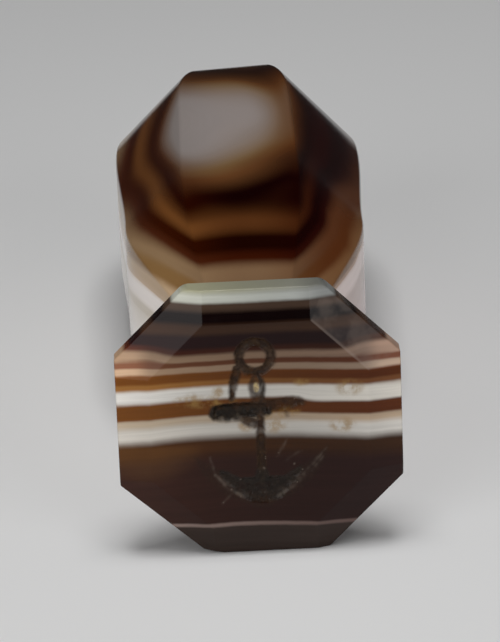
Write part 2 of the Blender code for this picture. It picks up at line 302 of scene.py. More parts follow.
# The pale lens on top of the handle: its middle across and behind the face, how it slants, how far
# it reaches both ways, its edge in squared reaches, and how far it lifts the levels
LENS_MIDDLE = (-0.116, 2.067)
LENS_SLANT = -0.130
LENS_REACH = (0.265, 0.775)
LENS_EDGE = (0.4, 1.6, 1.0, 0.0)
LENS_LIFT = 0.0375

# Where the levels fall off again at the lens's right and behind which place, and how far
LENS_RIM = (0.12, 0.22)
LENS_RIM_BACK = (1.70, 2.00)
LENS_FALL = 0.006

# The grey heart of the lens: its middle, its reach both ways and its own lift
HEART_MIDDLE = (-0.09, 1.98)
HEART_REACH = (0.28, 0.55)
HEART_LIFT = 0.038

# Where the levels fall off in front of the heart, more to the right, and how far
FRONT_RIM = (-0.25, 0.20)
FRONT_RISE = (1.15, 1.30)
FRONT_END = (1.75, 1.45)
FRONT_FALL = 0.016

# Slow and fine waves in the layers with their heights, and the share of them on the handle
WAVES = (((3.0, 1.0, 0.5, 3.0), 0.010), ((16.0, 2.0, 0.5, 7.0), 0.004))
HANDLE_WAVES = 0.4

# Where a layer's colour changes across the face, and across the handle's left and right halves
FACE_SIDES = (-0.36, 0.36)
HANDLE_LEFT = (-0.32, -0.02)
HANDLE_RIGHT = (0.02, 0.34)

# How the layers' edges soften along the handle
SOFTENING = (0.7, 2.0, 1.0, 3.0)

# Painted light and shade: the face is dimmer in the middle than at its sides, by the distance across squared
MIDDLE_LIGHT = 0.85
SIDE_LIGHT = 2.2

# Painted shade: the cap is dimmer at its right end
CAP_END = (0.12, 0.25)
CAP_LEVEL = (0.44, 0.46)
CAP_DIMMED = -0.4

# Painted light: the thin layers are lighter at the face's corners, by the distance across squared
CORNER_SIDES = (0.13, 0.19)
CORNER_RISE = (0.20, 0.22)
CORNER_FALL = (0.31, 0.29)
CORNER_LIGHT = 0.7

# Fine lines along the layers: how closely they follow each other across and by level, their
# pattern, and their darkest and lightest tone on the face and on the handle
LAMINA_ACROSS = 1.5
LAMINA_LEVEL = 55.0
LAMINA_PATTERN = (1.0, 3.0, 0.6, 11.0)
LAMINA_FADE = (0.3, 0.7)
LAMINA_DARKEST = (0.91, 0.975)
LAMINA_LIGHTEST = (1.08, 1.02)

# Yellow-brown stains in the white layers: place on the face and reach, in millimetres
STAINS = (
    ((-5.9, 2.7), (1.0, 0.9)),
    ((-6.6, 2.7), (1.2, 0.5)),
    ((-4.6, 2.5), (3.2, 0.8)),
    ((-3.6, 3.3), (0.7, 0.8)),
    ((3.7, 3.9), (0.9, 0.5)),
    ((1.2, 0.3), (1.5, 1.4)),
    ((2.6, 1.2), (1.3, 0.6)),
    ((7.9, 3.2), (1.6, 1.0)),
    ((7.2, -0.3), (1.5, 0.9)),
    ((-1.2, 0.1), (1.0, 0.8)),
)
STAIN_PATTERN = (24.0, 3.0, 0.6, 4.0)
STAIN_FADE = (0.34, 0.66)
STAIN_SHARE = 0.7
STAIN_COLOUR = (0.26, 0.155, 0.048, 1.0)

# The warm, clearer part of the thick brown layer: place on the face and reach, in millimetres
CLOUD_SPOT = ((-10.5, -1.6), (6.0, 4.0))
CLOUD_BACK = (0.02, 0.12, 1.0, 0.0)
CLOUD_TOP = (-0.055, -0.075)
CLOUD_PATTERN = (5.0, 2.0, 0.5, 6.0)
CLOUD_FADE = (0.3, 0.7, 0.5, 1.0)
CLOUD_SHARE = 0.48
CLOUD_COLOUR = (0.16, 0.075, 0.022, 1.0)

# The worn bevel at the face's upper right corner, rubbed and mottled, with a painted reflection on it
# and a painted highlight along its edge. Its rim and edge are distances across and up together, and
# its two ends follow lines of one slope
BEVEL_RIM = (0.570, 0.576)
BEVEL_BACK = (0.14, 0.11)
BEVEL_END_SLOPE = -0.48
BEVEL_END = (0.0, 0.010)
BEVEL_SHEEN_EDGE = (0.578, 0.592, 0.22, 0.0)
BEVEL_PATTERN = (17.0, 2.0, 0.5, 8.0)
BEVEL_MOTTLES = (0.35, 0.70, 0.0, 0.13)
BEVEL_WEAR_AND_SHEEN_COLOUR = (0.30, 0.23, 0.19, 1.0)

# The residue in the anchor's cuts: its pattern and the two ends of both its colours
DIRT_PATTERN = (60.0, 3.0, 0.6, 5.0)
DIRT_FADE = (0.35, 0.7)
GREEN_DIRT = ((0.010, 0.008, 0.006, 1.0), (0.020, 0.015, 0.011, 1.0))
BROWN_DIRT = ((0.022, 0.010, 0.005, 1.0), (0.045, 0.022, 0.009, 1.0))
FROST_SHARE = 0.3
FROST_COLOUR = (0.20, 0.16, 0.13, 1.0)

# A painted highlight: a yellow glint between the anchor's ring and stock, in millimetres, and how dirt hides
# it
GLINT_SPOT = ((-0.22, 3.6), (0.34, 0.6))
GLINT_DIRT = (0.9, 0.2, 0.45, 0.9)
GLINT_COLOUR = (0.52, 0.40, 0.20, 1.0)

# The polish: its cloudiness on the face, its roughness on the handle and in the cuts, the pits in
# the residue, and the stone's shine
POLISH_PATTERN = (12.0, 4.0, 0.65, 2.0)
POLISH_FADE = (0.35, 0.75, 0.08, 0.26)
HANDLE_ROUGHNESS = 0.13
RESIDUE_ROUGHNESS = 0.36
PIT_PATTERN = (170.0, 2.0, 0.5, 9.0)
PIT_STRENGTH = 0.5
PIT_DEPTH = 0.00008
AGATE_SHINE = 0.12
AGATE_IOR = 1.54


def facet_directions(cuts):
    """Outward direction of each facet in the plane of the face, as (across, up)."""
    angles = [2 * pi * k / FACETS + radians(turn) for k, (turn, _) in enumerate(cuts)]
    return [Vector((sin(angle), cos(angle))) for angle in angles]


def corner(first, first_distance, second, second_distance):
    """Where two facets meet, seen along the axis."""
    det = first.x * second.y - first.y * second.x
    across = (first_distance * second.y - second_distance * first.y) / det
    up = (first.x * second_distance - second.x * first_distance) / det
    return Vector((across, up))


def to_world(across, up, behind_face):
    return Vector((across, FACE_Y + behind_face, AXIS_HEIGHT + up))


def grind(bm, point, outward):
    """Cuts a flat on a solid block and closes it, as a lapidary's wheel does."""
    everything = bm.verts[:] + bm.edges[:] + bm.faces[:]
    bmesh.ops.bisect_plane(bm, geom=everything, plane_co=point, plane_no=outward, clear_outer=True)
    open_edges = [edge for edge in bm.edges if edge.is_boundary]
    if open_edges:
        bmesh.ops.holes_fill(bm, edges=open_edges, sides=0)


def face_half(facet):
    if facet % 2:
        across_flats = FACE_DIAGONAL
    elif facet % 4:
        across_flats = FACE_WIDTH
    else:
        across_flats = FACE_HEIGHT
    return across_flats / 2 * FACE_CUTS[facet][1]


def panel_half(facet):
    return (PANEL_DIAGONAL if facet % 2 else PANEL_WIDTH) / 2


def soften(bm, edges, width):
    bmesh.ops.bevel(
        bm, geom=edges, offset=width, offset_type="OFFSET", segments=EDGE_SEGMENTS,
        profile=0.5, affect="EDGES", clamp_overlap=True, material=-1,
    )


def is_top_corner(edge):
    """Whether the edge runs back from the face at one of the base's two top corners."""
    run = abs(edge.verts[0].co.y - edge.verts[1].co.y)
    middle = (edge.verts[0].co + edge.verts[1].co) / 2
    return run > MOSTLY_BACK * edge.calc_length() and middle.z - AXIS_HEIGHT > NEAR_TOP * FACE_HEIGHT


def base_mesh():
    """The octagonal base: a block with its sides, its bevels and the nick ground flat."""
    bm = bmesh.new()
    size = 2 * max(FACE_WIDTH, FACE_HEIGHT, FACE_DIAGONAL)
    block = Matrix.Diagonal((size, GIRDLE_BACK, size, 1.0))
    place = Matrix.Translation(to_world(0.0, 0.0, GIRDLE_BACK / 2))
    bmesh.ops.create_cube(bm, size=1.0, matrix=place @ block)
    directions = facet_directions(FACE_CUTS)
    for facet, direction in enumerate(directions):
        side = direction * face_half(facet)
        grind(bm, to_world(side.x, side.y, 0.0), Vector((direction.x, 0.0, direction.y)))
        slope = atan(sqrt(2) * tan(BEVEL_SLOPE)) if facet % 2 else BEVEL_SLOPE
        inner = direction * panel_half(facet)
        outward = Vector((direction.x * sin(slope), -cos(slope), direction.y * sin(slope)))
        grind(bm, to_world(inner.x, inner.y, 0.0), outward)
    lower, left_corner = LOWER_FACET, LOWER_FACET + 1
    start = corner(
        directions[lower], face_half(lower), directions[left_corner], face_half(left_corner)
    )
    turned = Vector((-sin(NICK_TURN), 0.0, -cos(NICK_TURN)))
    grind(bm, to_world(start.x + NICK_RUN, start.y, 0.0), turned)
    bmesh.ops.recalc_face_normals(bm, faces=bm.faces[:])
    worn = [edge for edge in bm.edges if edge.calc_length() > OVERLAP and is_top_corner(edge)]
    soften(bm, worn, TOP_CORNER)
    sharp = [edge for edge in bm.edges if edge.calc_face_angle(0.0) > SHARP_EDGE]
    soften(bm, sharp, FACE_EDGE)
    return bm


def eased(start, end, share):
    """A smooth change from start to end that begins and ends level."""
    return start + (end - start) * share * share * (3 - 2 * share)


def handle_stations():
    """(distance behind the face, half width across main flats, flat share) along the handle."""
    stations = [(GIRDLE_BACK - OVERLAP, SHOULDER_WIDTH / 2, SHOULDER_FLAT)]
    for i in range(STATIONS_PER_RUN):
        share = i / STATIONS_PER_RUN
        width = NECK_WIDTH + (SHOULDER_WIDTH - NECK_WIDTH) * (1 - share) ** SHOULDER_POWER
        flat = SHOULDER_FLAT + (NECK_FLAT - SHOULDER_FLAT) * share
        stations.append((GIRDLE_BACK + share * SHOULDER_RUN, width / 2, flat))
    runs = (
        (NECK_AT, FLARE_RUN, NECK_WIDTH, SWELL_WIDTH, NECK_FLAT, SWELL_FLAT),
        (SWELL_AT, BODY_RUN, SWELL_WIDTH, CROWN_WIDTH, SWELL_FLAT, CROWN_FLAT),
    )
    for at, run, width, next_width, flat, next_flat in runs:
        for i in range(STATIONS_PER_RUN):
            share = i / STATIONS_PER_RUN
            half = eased(width, next_width, share) / 2
            stations.append((at + share * run, half, eased(flat, next_flat, share)))
    reach = DOME_RUN / (1 - (TABLE_WIDTH / CROWN_WIDTH) ** DOME_POWER) ** (1 / DOME_POWER)
    last_angle = asin((DOME_RUN / reach) ** (DOME_POWER / 2))
    for i in range(STATIONS_PER_RUN + 1):
        angle = last_angle * i / STATIONS_PER_RUN
        along = reach * sin(angle) ** (2 / DOME_POWER)
        half = CROWN_WIDTH / 2 * cos(angle) ** (2 / DOME_POWER)
        stations.append((CROWN_AT + along, half, eased(CROWN_FLAT, TABLE_FLAT, along / DOME_RUN)))
    return stations


def handle_section(behind_face, half, flat):
    """The eight corners of the handle at one station."""
    directions = facet_directions(HANDLE_CUTS)
    diagonal = half * (1 + flat) / sqrt(2)
    distances = [
        (diagonal if k % 2 else half) * factor for k, (_, factor) in enumerate(HANDLE_CUTS)
    ]
    distances[LOWER_FACET] *= AXIS_HEIGHT / (CROWN_WIDTH / 2)
    corners = []
    for k in range(FACETS):
        after = (k + 1) % FACETS
        place = corner(directions[k], distances[k], directions[after], distances[after])
        corners.append(to_world(place.x, place.y, behind_face))
    return corners


def handle_mesh():
    """The handle: an octagon drawn out along the axis from station to station."""
    bm = bmesh.new()
    sections = [handle_section(*station) for station in handle_stations()]
    rim = [bm.verts.new(place) for place in sections[0]]
    bm.faces.new(rim)
    rim_edges = [bm.edges.get((rim[k], rim[(k + 1) % FACETS])) for k in range(FACETS)]
    facet_edges = []
    for section in sections[1:]:
        drawn = bmesh.ops.extrude_edge_only(bm, edges=rim_edges)["geom"]
        fresh = {item for item in drawn if isinstance(item, bmesh.types.BMVert)}
        next_rim = []
        for vert, place in zip(rim, section):
            link = next(e for e in vert.link_edges if e.other_vert(vert) in fresh)
            facet_edges.append(link)
            next_rim.append(link.other_vert(vert))
            next_rim[-1].co = place
        rim = next_rim
        rim_edges = [bm.edges.get((rim[k], rim[(k + 1) % FACETS])) for k in range(FACETS)]
    bm.faces.new(rim)
    bmesh.ops.recalc_face_normals(bm, faces=bm.faces[:])
    soften(bm, facet_edges[FACETS:] + rim_edges, HANDLE_EDGE)
    return bm


def joined(first, second):
    """One closed skin round two overlapping solids."""
    objects = []
    for name, bm in (("base_stock", first), ("handle_stock", second)):
        mesh = bpy.data.meshes.new(name)
        bm.to_mesh(mesh)
        bm.free()
        obj = bpy.data.objects.new(name, mesh)
        bpy.context.scene.collection.objects.link(obj)
        objects.append(obj)
    union = objects[0].modifiers.new("union", "BOOLEAN")
    union.operation = "UNION"
    union.solver = "EXACT"
    union.object = objects[1]
    graph = bpy.context.evaluated_depsgraph_get()
    whole = bpy.data.meshes.new_from_object(objects[0].evaluated_get(graph))
    bm = bmesh.new()
    bm.from_mesh(whole)
    for obj in objects:
        bpy.data.objects.remove(obj)
    bpy.data.meshes.remove(whole)
    return bm


def smooth_line(points):
    """Places and half widths along a curve that rounds the corners of a stroke's points."""
    points = [np.array(point, float) for point in points]
    last = len(points) - 1
    places = []
    for i in range(1, last):
        start = points[0] if i == 1 else (points[i - 1] + points[i]) / 2
        end = points[last] if i == last - 1 else (points[i] + points[i + 1]) / 2
        for share in np.linspace(0.0, 1.0, STROKE_STEPS):
            near = start + (points[i] - start) * share
            far = points[i] + (end - points[i]) * share
            places.append(near + (far - near) * share)
    return np.array(places)


def stroke_cut(places, line):
    """How deep one stroke cuts at each place, and how far inside its edge the place is, in mm."""
    depth = np.zeros(len(places))
    inset = np.full(len(places), -1.0)
    for across, up, half_width in line:
        away = np.hypot(places[:, 0] - across, places[:, 1] - up)
        depth = np.maximum(depth, WHEEL_DEPTH * (half_width - away**2 / half_width))
        inset = np.maximum(inset, half_width - away)
    for end, inner in ((line[0], line[2]), (line[-1], line[-3])):
        away = (end - inner)[:2] / np.linalg.norm((end - inner)[:2])
        beyond = (places - end[:2]) @ away
        run = max(END_RUN * end[2], SHORTEST_END_RUN)
        depth *= np.clip(GONE_AFTER - beyond / run, 0.0, 1.0)
    return depth, inset


def ring_cut(places):
    off_centre = np.hypot(places[:, 0] - RING_CENTRE[0], places[:, 1] - RING_CENTRE[1])
    away = np.abs(off_centre - RING_RADIUS)
    depth = np.maximum(RING_HALF_WIDTH - away**2 / RING_HALF_WIDTH, 0.0)
    return WHEEL_DEPTH * depth, RING_HALF_WIDTH - away


def grain(places, size, seed):
    """A repeatable unevenness, between minus one and one."""
    return np.array([noise.noise(Vector((x / size, z / size, seed))) for x, z in places])


def wander(places, size, amount, seed):
    """A slow, repeatable irregularity of hand work, a pair of shifts for each place."""
    across = grain(places, size, seed)
    up = grain(places, size, seed + SEED_GAP)
    return amount * np.column_stack((across, up))


def patchy(places, size, seed, middle, swing, least, most):
    """A repeatable factor that changes slowly from place to place."""
    return np.clip(middle + swing * grain(places, size, seed), least, most)


def scratch_frost(places, worn):
    """How frosted the scratches along the arms leave each place."""
    frost = np.zeros(len(places))
    for bright, points in SCRATCHES:
        for across, up, half_width in smooth_line(points):
            away = np.hypot(worn[:, 0] - across, worn[:, 1] - up)
            frost = np.maximum(frost, bright * np.exp(-((away / half_width) ** 2)))
    return frost * patchy(places, *FROST_PATCHES)


def loose_chips(places, depth):
    """Places and radii of the smaller chips."""
    on_rim = (depth > RIM_DEPTH[0]) & (depth < RIM_DEPTH[1]) & (places[:, 1] < LOOSE_CHIPS_BELOW)
    choices = places[on_rim]
    draw = random.Random(CHIP_SEED)
    chips = []
    for _ in range(LOOSE_CHIPS):
        across, up = choices[draw.randrange(len(choices))]
        chips.append((across, up, draw.uniform(*LOOSE_CHIP_RADIUS)))
    return chips


def figure_cut(places):
    """The anchor's cut at each place: depth in millimetres, residue, how brown it is and frosting."""
    worn = places
    for wave in WANDERS:
        worn = worn + wander(places, *wave)
    cuts = [(RING_BROWN, RING_FILL, *ring_cut(worn))]
    for brown, fill, points in STROKES.values():
        cuts.append((brown, fill, *stroke_cut(worn, smooth_line(points))))
    depth = np.max([fill**2 * cut for _, fill, cut, _ in cuts], axis=0)
    depth = np.maximum(depth - WHEEL_RISE, 0.0)
    residues = [
        fill * np.clip((inset + RESIDUE_START) / RESIDUE_RUN, 0.0, 1.0) for _, fill, _, inset in cuts
    ]
    residue = np.max(residues, axis=0) * patchy(places, *RESIDUE_PATCHES)
    weights = [
        fill * np.clip(inset + RESIDUE_START, 0.0, 1.0) ** 2 + LEAST_WEIGHT
        for _, fill, _, inset in cuts
    ]
    browned = sum(weight * brown for weight, (brown, *_) in zip(weights, cuts)) / sum(weights)
    uneven = 1.0
    for stretch, size, seed, share in CUT_GRAINS:
        uneven = uneven + share * grain(worn * stretch, size, seed)
    depth *= uneven
    frost = scratch_frost(places, worn)
    for across, up, radius in (*CHIPS, *loose_chips(places, depth)):
        away = np.hypot(places[:, 0] - across, places[:, 1] - up)
        flake = FLAKE_DEPTH * np.sqrt(np.maximum(radius**2 - away**2, 0.0))
        depth = np.maximum(depth, flake)
        frost = np.maximum(frost, CHIP_FROST * np.clip(1.0 - away / radius, 0.0, 1.0))
    return depth, residue, browned, frost


def engraved_panel():
    """The middle of the flat panel as a fine sheet, pressed down where the anchor is cut."""
    bm = bmesh.new()
    width = 2 * FIGURE_HALF_WIDTH
    height = FIGURE_TOP - FIGURE_BOTTOM
    place = Matrix.Translation(to_world(0.0, (FIGURE_TOP + FIGURE_BOTTOM) / 2, 0.0))
    stretch = Matrix.Diagonal((width, height, 1.0, 1.0))
    bmesh.ops.create_grid(
        bm,
        x_segments=round(width / PANEL_STEP),
        y_segments=round(height / PANEL_STEP),
        size=0.5,
        matrix=place @ Matrix.Rotation(pi / 2, 4, "X") @ stretch,
    )
    for across in (-1, 1):
        for up in (-1, 1):
            outward = Vector((across, 0.0, up)).normalized()
            point = to_world(0.0, 0.0, 0.0) + outward * FIGURE_CORNER
            everything = bm.verts[:] + bm.edges[:] + bm.faces[:]
            bmesh.ops.bisect_plane(
                bm, geom=everything, plane_co=point, plane_no=outward, clear_outer=True
            )
    places = np.array([(v.co.x, v.co.z - AXIS_HEIGHT) for v in bm.verts]) * MM_PER_METRE
    depth, *looks = figure_cut(places)
    layers = [bm.verts.layers.float.new(name) for name in PANEL_LOOKS]
    for index, vert in enumerate(bm.verts):
        if not vert.is_boundary:
            vert.co.y += depth[index] / MM_PER_METRE
            for layer, look in zip(layers, looks):
                vert[layer] = look[index]
    return bm


def seal_object():
    bm = joined(base_mesh(), handle_mesh())
    panel = [
        face for face in bm.faces
        if all(abs(vert.co.y - FACE_Y) < SAME_PLANE for vert in face.verts)
    ]
    bmesh.ops.delete(bm, geom=panel, context="FACES_ONLY")
    loose = [edge for edge in bm.edges if not edge.link_faces]
    bmesh.ops.delete(bm, geom=loose, context="EDGES")
    for name in PANEL_LOOKS:
        bm.verts.layers.float.new(name)
    sheet_bm = engraved_panel()
    sheet = bpy.data.meshes.new("engraved_sheet")
    sheet_bm.to_mesh(sheet)
    sheet_bm.free()
    bm.from_mesh(sheet)
    bpy.data.meshes.remove(sheet)
    rims = [edge for edge in bm.edges if edge.is_boundary]
    bmesh.ops.triangle_fill(bm, edges=rims, use_beauty=True, use_dissolve=False)
    bmesh.ops.recalc_face_normals(bm, faces=bm.faces[:])
    open_edges = sum(not edge.is_manifold for edge in bm.edges)
    print("seal: faces", len(bm.faces), "edges not closed", open_edges)
    for vert in bm.verts:
        vert.co.z = min(max(vert.co.z, 0.0), FACE_HEIGHT)
    mesh = bpy.data.meshes.new("polished_seal")
    bm.to_mesh(mesh)
    bm.free()
    mesh.shade_smooth()
    seal = bpy.data.objects.new("polished_seal", mesh)
    bpy.context.scene.collection.objects.link(seal)
    even = seal.modifiers.new("even_facets", "WEIGHTED_NORMAL")
    even.mode = "FACE_AREA"
    even.weight = FACET_WEIGHT
    return seal


# The sockets of the Mix node that hold colours, and its factor
MIX_FACTOR, MIX_FIRST, MIX_SECOND, MIX_RESULT = 0, 6, 7, 2


class Bench:
    """Places shader nodes and joins them."""

    def __init__(self, tree):
        self.tree = tree

    def feed(self, socket, value):
        if isinstance(value, bpy.types.NodeSocket):
            self.tree.links.new(value, socket)
        else:
            socket.default_value = value

    def add(self, kind, sockets=(), **settings):
        node = self.tree.nodes.new(kind)
        for name, value in settings.items():
            setattr(node, name, value)
        for name, value in dict(sockets).items():
            self.feed(node.inputs[name], value)
        return node

    def math(self, operation, *values):
        node = self.add("ShaderNodeMath", operation=operation)
        for socket, value in zip(node.inputs, values):
            self.feed(socket, value)
        return node.outputs[0]

    def total(self, first, *others):
        for other in others:
            first = self.math("ADD", first, other)
        return first

    def times(self, first, *others):
        for other in others:
            first = self.math("MULTIPLY", first, other)
        return first

    def smooth(self, value, low, high, start=0.0, end=1.0):
        """Goes smoothly from start to end as the value goes from low to high."""
        node = self.add(
            "ShaderNodeMapRange",
            {"Value": value, "From Min": low, "From Max": high, "To Min": start, "To Max": end},
            interpolation_type="SMOOTHSTEP",
        )
        return node.outputs[0]

    def between(self, value, rise, fall):
        """One between a smooth rise and a smooth fall, none outside them."""
        return self.times(self.smooth(value, *rise), self.smooth(value, *fall))

    def noise(self, place, scale, detail, roughness, shift):
        moved = self.add("ShaderNodeMapping", {"Vector": place, "Location": (shift,) * 3})
        node = self.add(
            "ShaderNodeTexNoise",
            {"Vector": moved.outputs[0], "Scale": scale, "Detail": detail, "Roughness": roughness},
        )
        return node.outputs["Fac"]

    def blend(self, share, first, second, kind="MIX"):
        node = self.add("ShaderNodeMix", data_type="RGBA", blend_type=kind)
        self.feed(node.inputs[MIX_FACTOR], share)
        self.feed(node.inputs[MIX_FIRST], first)
        self.feed(node.inputs[MIX_SECOND], second)
        return node.outputs[MIX_RESULT]

    def curve(self, value, pairs):
        """Follows straight lines between the pairs."""
        node = self.add("ShaderNodeFloatCurve", {"Value": value})
        line = node.mapping.curves[0]
        line.points[0].location = pairs[0]
        line.points[1].location = pairs[-1]
        for pair in pairs[1:-1]:
            line.points.new(*pair)
        for point in line.points:
            point.handle_type = "VECTOR"
        node.mapping.use_clip = False
        node.mapping.update()
        return node.outputs[0]

    def bump(self, height, strength, distance):
        node = self.add(
            "ShaderNodeBump", {"Strength": strength, "Distance": distance, "Height": height}
        )
        return node.outputs[0]


def place_in_face_widths(bench):
    """Across, behind the face and up from its middle, in face widths, as a vector and three values."""
    here = bench.add("ShaderNodeTexCoord").outputs["Object"]
    moved = bench.add(
        "ShaderNodeMapping",
        {
            "Vector": here,
            "Scale": (1 / FACE_WIDTH,) * 3,
            "Location": (0.0, -FACE_Y / FACE_WIDTH, -AXIS_HEIGHT / FACE_WIDTH),
        },
    ).outputs[0]
    parts = bench.add("ShaderNodeSeparateXYZ", {"Vector": moved})
    return moved, parts.outputs["X"], parts.outputs["Y"], parts.outputs["Z"]


def face_level(bench, across, across_2, up):
    """Levels on the face: the layers sag to both sides, the lower ones more, and to the right."""
    sag = bench.total(bench.times(bench.total(up, -SAG_HEIGHT), -SAG_FADE), SAG)
    lean = bench.smooth(up, *LEAN_FADE)
    bend = bench.total(bench.times(across_2, LEAN_BEND), 1.0)
    fan = bench.times(bench.smooth(across_2, *FAN_SIDES), bench.between(up, FAN_RISE, FAN_FALL))
    seam = bench.times(bench.smooth(across, *SEAM_SIDES), bench.between(up, SEAM_RISE, SEAM_FALL))
    return bench.total(up, bench.times(sag, across_2), bench.times(lean, across, bend), fan, seam)


def squared_distance(bench, aside, back):
    return bench.total(bench.times(aside, aside), bench.times(back, back))


def lens(bench, across, behind):
    """One in the middle of the pale lens on the handle's top, none beyond its edge."""
    back = bench.total(behind, -LENS_MIDDLE[1])
    aside = bench.total(across, -LENS_MIDDLE[0], bench.times(back, -LENS_SLANT))
    aside = bench.times(aside, 1 / LENS_REACH[0])
    back = bench.times(back, 1 / LENS_REACH[1])
    return bench.smooth(squared_distance(bench, aside, back), *LENS_EDGE)


def heart(bench, across, behind):
    """One in the middle of the lens's grey heart, none at its edge."""
    aside = bench.times(bench.total(across, -HEART_MIDDLE[0]), 1 / HEART_REACH[0])
    back = bench.times(bench.total(behind, -HEART_MIDDLE[1]), 1 / HEART_REACH[1])
    return bench.smooth(squared_distance(bench, aside, back), 0.0, 1.0, 1.0, 0.0)


def handle_level(bench, across, across_2, behind, up):
    """Levels in the handle: the layers lean and arch, lift in the lens and fall off round it."""

    def lean(plain, by_side, by_square):
        return bench.total(bench.times(across, by_side), bench.times(across_2, by_square), plain)

    level = bench.total(up, lean(*BASE_LEAN), bench.times(lens(bench, across, behind), LENS_LIFT))
    fall = bench.times(bench.smooth(across, *LENS_RIM), bench.smooth(behind, *LENS_RIM_BACK))
    level = bench.total(level, bench.times(fall, -LENS_FALL))
    level = bench.total(level, bench.times(heart(bench, across, behind), HEART_LIFT))
    front = bench.between(behind, FRONT_RISE, FRONT_END)
    level = bench.total(level, bench.times(bench.smooth(across, *FRONT_RIM), front, -FRONT_FALL))
    for (start, end), added in HANDLE_LEAN:
        level = bench.total(level, bench.times(bench.smooth(behind, start, end), lean(*added)))
    pairs = [(there + CURVE_LIFT, here + CURVE_LIFT) for there, here in HANDLE_LEVELS]
    return bench.total(bench.curve(bench.total(level, CURVE_LIFT), pairs), -CURVE_LIFT)


def layer_level(bench, place, across, behind, up):
    """Each point's level in the stack of layers, and how far the handle has taken over there."""
    across_2 = bench.times(across, across)
    along = bench.smooth(behind, *HANDOVER)
    face = face_level(bench, across, across_2, up)
    handle = handle_level(bench, across, across_2, behind, up)
    level = bench.total(
        bench.times(face, bench.math("SUBTRACT", 1.0, along)), bench.times(handle, along)
    )
    steady = bench.smooth(along, 0.0, 1.0, 1.0, HANDLE_WAVES)
    for pattern, height in WAVES:
        wave = bench.total(bench.noise(place, *pattern), -0.5)
        level = bench.total(level, bench.times(wave, steady, height))
    return level, along


def face_light(bench, level, across):
    """Painted light and shade on the face, from place to place."""
    across_2 = bench.times(across, across)
    # Painted shade over the cap's right end
    cap_end = bench.times(bench.smooth(across, *CAP_END), bench.smooth(level, *CAP_LEVEL))
    # Painted highlight on the thin layers at the face's corners
    corners = bench.times(
        bench.smooth(across_2, *CORNER_SIDES), bench.between(level, CORNER_RISE, CORNER_FALL)
    )
    return bench.times(
        bench.total(bench.times(across_2, SIDE_LIGHT), MIDDLE_LIGHT),
        bench.total(bench.times(cap_end, CAP_DIMMED), 1.0),
        bench.total(bench.times(corners, CORNER_LIGHT), 1.0),
    )


def opaque(colour):
    return (*colour, 1.0)


def layered_colour(bench, level, along, across, behind):
    """The stack of layers, each edge softer along the handle, with the painted light and shade on the face.
    """
    face_side = bench.add(
        "ShaderNodeMapRange", {"Value": across, "From Min": FACE_SIDES[0], "From Max": FACE_SIDES[1]}
    ).outputs[0]
    left_half = bench.smooth(across, *HANDLE_LEFT)
    right_half = bench.smooth(across, *HANDLE_RIGHT)
    softer = bench.smooth(behind, *SOFTENING)
    colour = None
    for index, (_, _, _, face_left, face_right, left, middle, right) in enumerate(LAYERS):
        there = bench.blend(left_half, opaque(left), opaque(middle))
        there = bench.blend(right_half, there, opaque(right))
        face = bench.blend(face_side, opaque(face_left), opaque(face_right))
        here = bench.blend(along, face, there)
        if colour is None:
            colour = here
            continue
        _, edge, softness, *_ = LAYERS[index - 1]
        half = bench.times(softer, softness)
        past = bench.smooth(
            level, bench.math("SUBTRACT", edge, half), bench.math("ADD", half, edge)
        )
        colour = bench.blend(past, colour, here)
    # Painted light and shade: the face's colour is multiplied by the painted light of face_light
    lit = bench.blend(1.0, colour, face_light(bench, level, across), "MULTIPLY")
    return bench.blend(bench.math("SUBTRACT", 1.0, along), colour, lit)


def laminated(bench, colour, level, along, across, behind):
    """Fine lighter and darker lines along the layers."""
    place = bench.add(
        "ShaderNodeCombineXYZ",
        {"X": bench.times(across, LAMINA_ACROSS), "Y": behind, "Z": bench.times(level, LAMINA_LEVEL)},
    ).outputs[0]
    darkest = bench.smooth(along, 0.0, 1.0, *LAMINA_DARKEST)
    lightest = bench.smooth(along, 0.0, 1.0, *LAMINA_LIGHTEST)
    lines = bench.smooth(bench.noise(place, *LAMINA_PATTERN), *LAMINA_FADE, darkest, lightest)
    return bench.blend(1.0, colour, lines, "MULTIPLY")


def spot(bench, across, up, centre, size):
    """One at the centre of a spot on the face, none at its edge; lengths in millimetres."""
    unit = 1 / (FACE_WIDTH * MM_PER_METRE)
    aside = bench.times(bench.total(across, -centre[0] * unit), 1 / (size[0] * unit))
    above = bench.times(bench.total(up, -centre[1] * unit), 1 / (size[1] * unit))
    return bench.smooth(squared_distance(bench, aside, above), 0.0, 1.0, 1.0, 0.0)


def stained(bench, place, across, behind, up):
    """Yellow-brown mottles in the white layers of the face."""
    spots = None
    for centre, size in STAINS:
        here = spot(bench, across, up, centre, size)
        spots = here if spots is None else bench.math("MAXIMUM", spots, here)
    broken = bench.smooth(bench.noise(place, *STAIN_PATTERN), *STAIN_FADE)
    return bench.times(spots, broken, bench.smooth(behind, *FACE_ONLY), STAIN_SHARE)


def worn_corner_and_sheen(bench, place, across, behind, up):
    """Rubbed, mottled stone under a painted reflection on the bevel at the face's upper right corner, palest
    along its edge as a painted highlight.
    """
    over = bench.total(across, up)
    bevel = bench.times(
        bench.smooth(over, *BEVEL_RIM),
        bench.smooth(behind, *BEVEL_BACK),
        bench.smooth(bench.total(across, bench.times(up, BEVEL_END_SLOPE)), *BEVEL_END),
        bench.smooth(bench.total(up, bench.times(across, BEVEL_END_SLOPE)), *BEVEL_END),
    )
    # Painted highlight along the bevel's edge; the mottles are rubbed stone under a painted reflection
    edge = bench.smooth(over, *BEVEL_SHEEN_EDGE)
    mottled = bench.smooth(bench.noise(place, *BEVEL_PATTERN), *BEVEL_MOTTLES)
    return bench.times(bench.math("MAXIMUM", edge, mottled), bevel)


